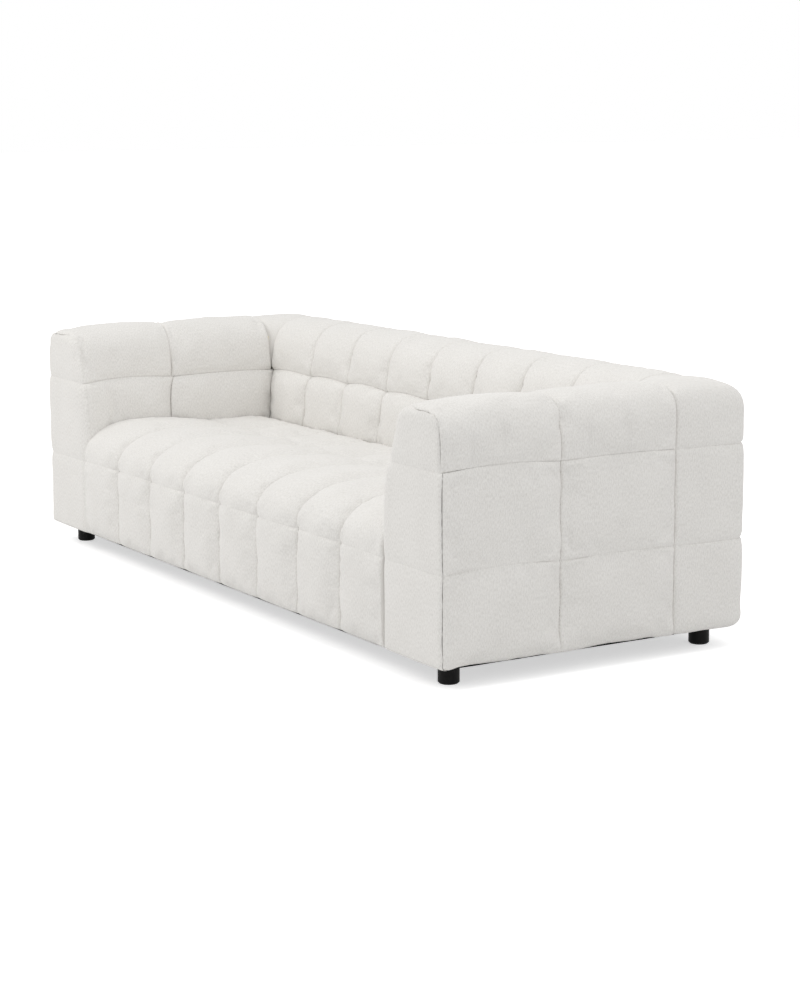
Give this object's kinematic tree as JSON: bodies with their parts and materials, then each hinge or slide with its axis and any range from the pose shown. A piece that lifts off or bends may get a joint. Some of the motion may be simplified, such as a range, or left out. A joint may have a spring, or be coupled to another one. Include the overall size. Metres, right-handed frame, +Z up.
{
  "type": "tuxedo sofa",
  "caption": "Low deep tuxedo sofa with arms as high as its back, channel-quilted tight seat, grid-quilted arms and back, soft square corners and short round feet",
  "frame": {"origin": "centre of the sofa on the floor, under the middle of its bounding box", "axes": "+X along the sofa to its right end as seen from the front, +Y to the rear, +Z up; a sitter faces -Y"},
  "size_m": [2.4626, 0.9696, 0.7313],
  "materials": {
    "ivory_weave": "ivory textured weave over quilted fibre wadding, matt",
    "black_plastic": "black moulded plastic, satin",
    "black_cloth": "black non-woven cloth, matt",
    "foam": "open-cell upholstery foam",
    "felt": "pressed grey felt",
    "webbing": "woven elastic strap",
    "spring_steel": "drawn spring wire, oiled",
    "zinc_steel": "zinc plated steel",
    "hardboard": "brown pressed hardboard",
    "plywood": "plain birch plywood, unfinished"
  },
  "bodies": {
    "root": {"back_base_board": "plywood", "back_cap_cover": "ivory_weave", "back_foam": "foam", "back_inner_cover": "ivory_weave", "back_liner_rail": "plywood", "back_outer_board": "hardboard", "back_outer_cover": "ivory_weave", "back_posts": "plywood", "back_top_board": "plywood", "back_webbing_level": "webbing", "back_webbing_upright": "webbing", "centre_cross_rail": "plywood", "corner_blocks": "plywood", "deck_felt": "felt", "dust_cover": "black_cloth", "feet": "black_plastic", "foot_bolts": "zinc_steel", "foot_nuts": "zinc_steel", "front_rail": "plywood", "left_arm_base_board": "plywood", "left_arm_cap_cover": "ivory_weave", "left_arm_foam": "foam", "left_arm_front_board": "plywood", "left_arm_front_cover": "ivory_weave", "left_arm_inner_board": "hardboard", "left_arm_inner_cover": "ivory_weave", "left_arm_middle_board": "plywood", "left_arm_outer_board": "hardboard", "left_arm_outer_cover": "ivory_weave", "left_arm_rear_board": "plywood", "left_arm_top_board": "plywood", "left_corner_cover": "ivory_weave", "left_side_rail": "plywood", "rear_rail": "plywood", "right_arm_base_board": "plywood", "right_arm_cap_cover": "ivory_weave", "right_arm_foam": "foam", "right_arm_front_board": "plywood", "right_arm_front_cover": "ivory_weave", "right_arm_inner_board": "hardboard", "right_arm_inner_cover": "ivory_weave", "right_arm_middle_board": "plywood", "right_arm_outer_board": "hardboard", "right_arm_outer_cover": "ivory_weave", "right_arm_rear_board": "plywood", "right_arm_top_board": "plywood", "right_corner_cover": "ivory_weave", "right_side_rail": "plywood", "seat_cover": "ivory_weave", "seat_foam": "foam", "seat_springs": "spring_steel", "side_cross_rails": "plywood", "spring_clips": "spring_steel"}
  },
  "joints": []
}
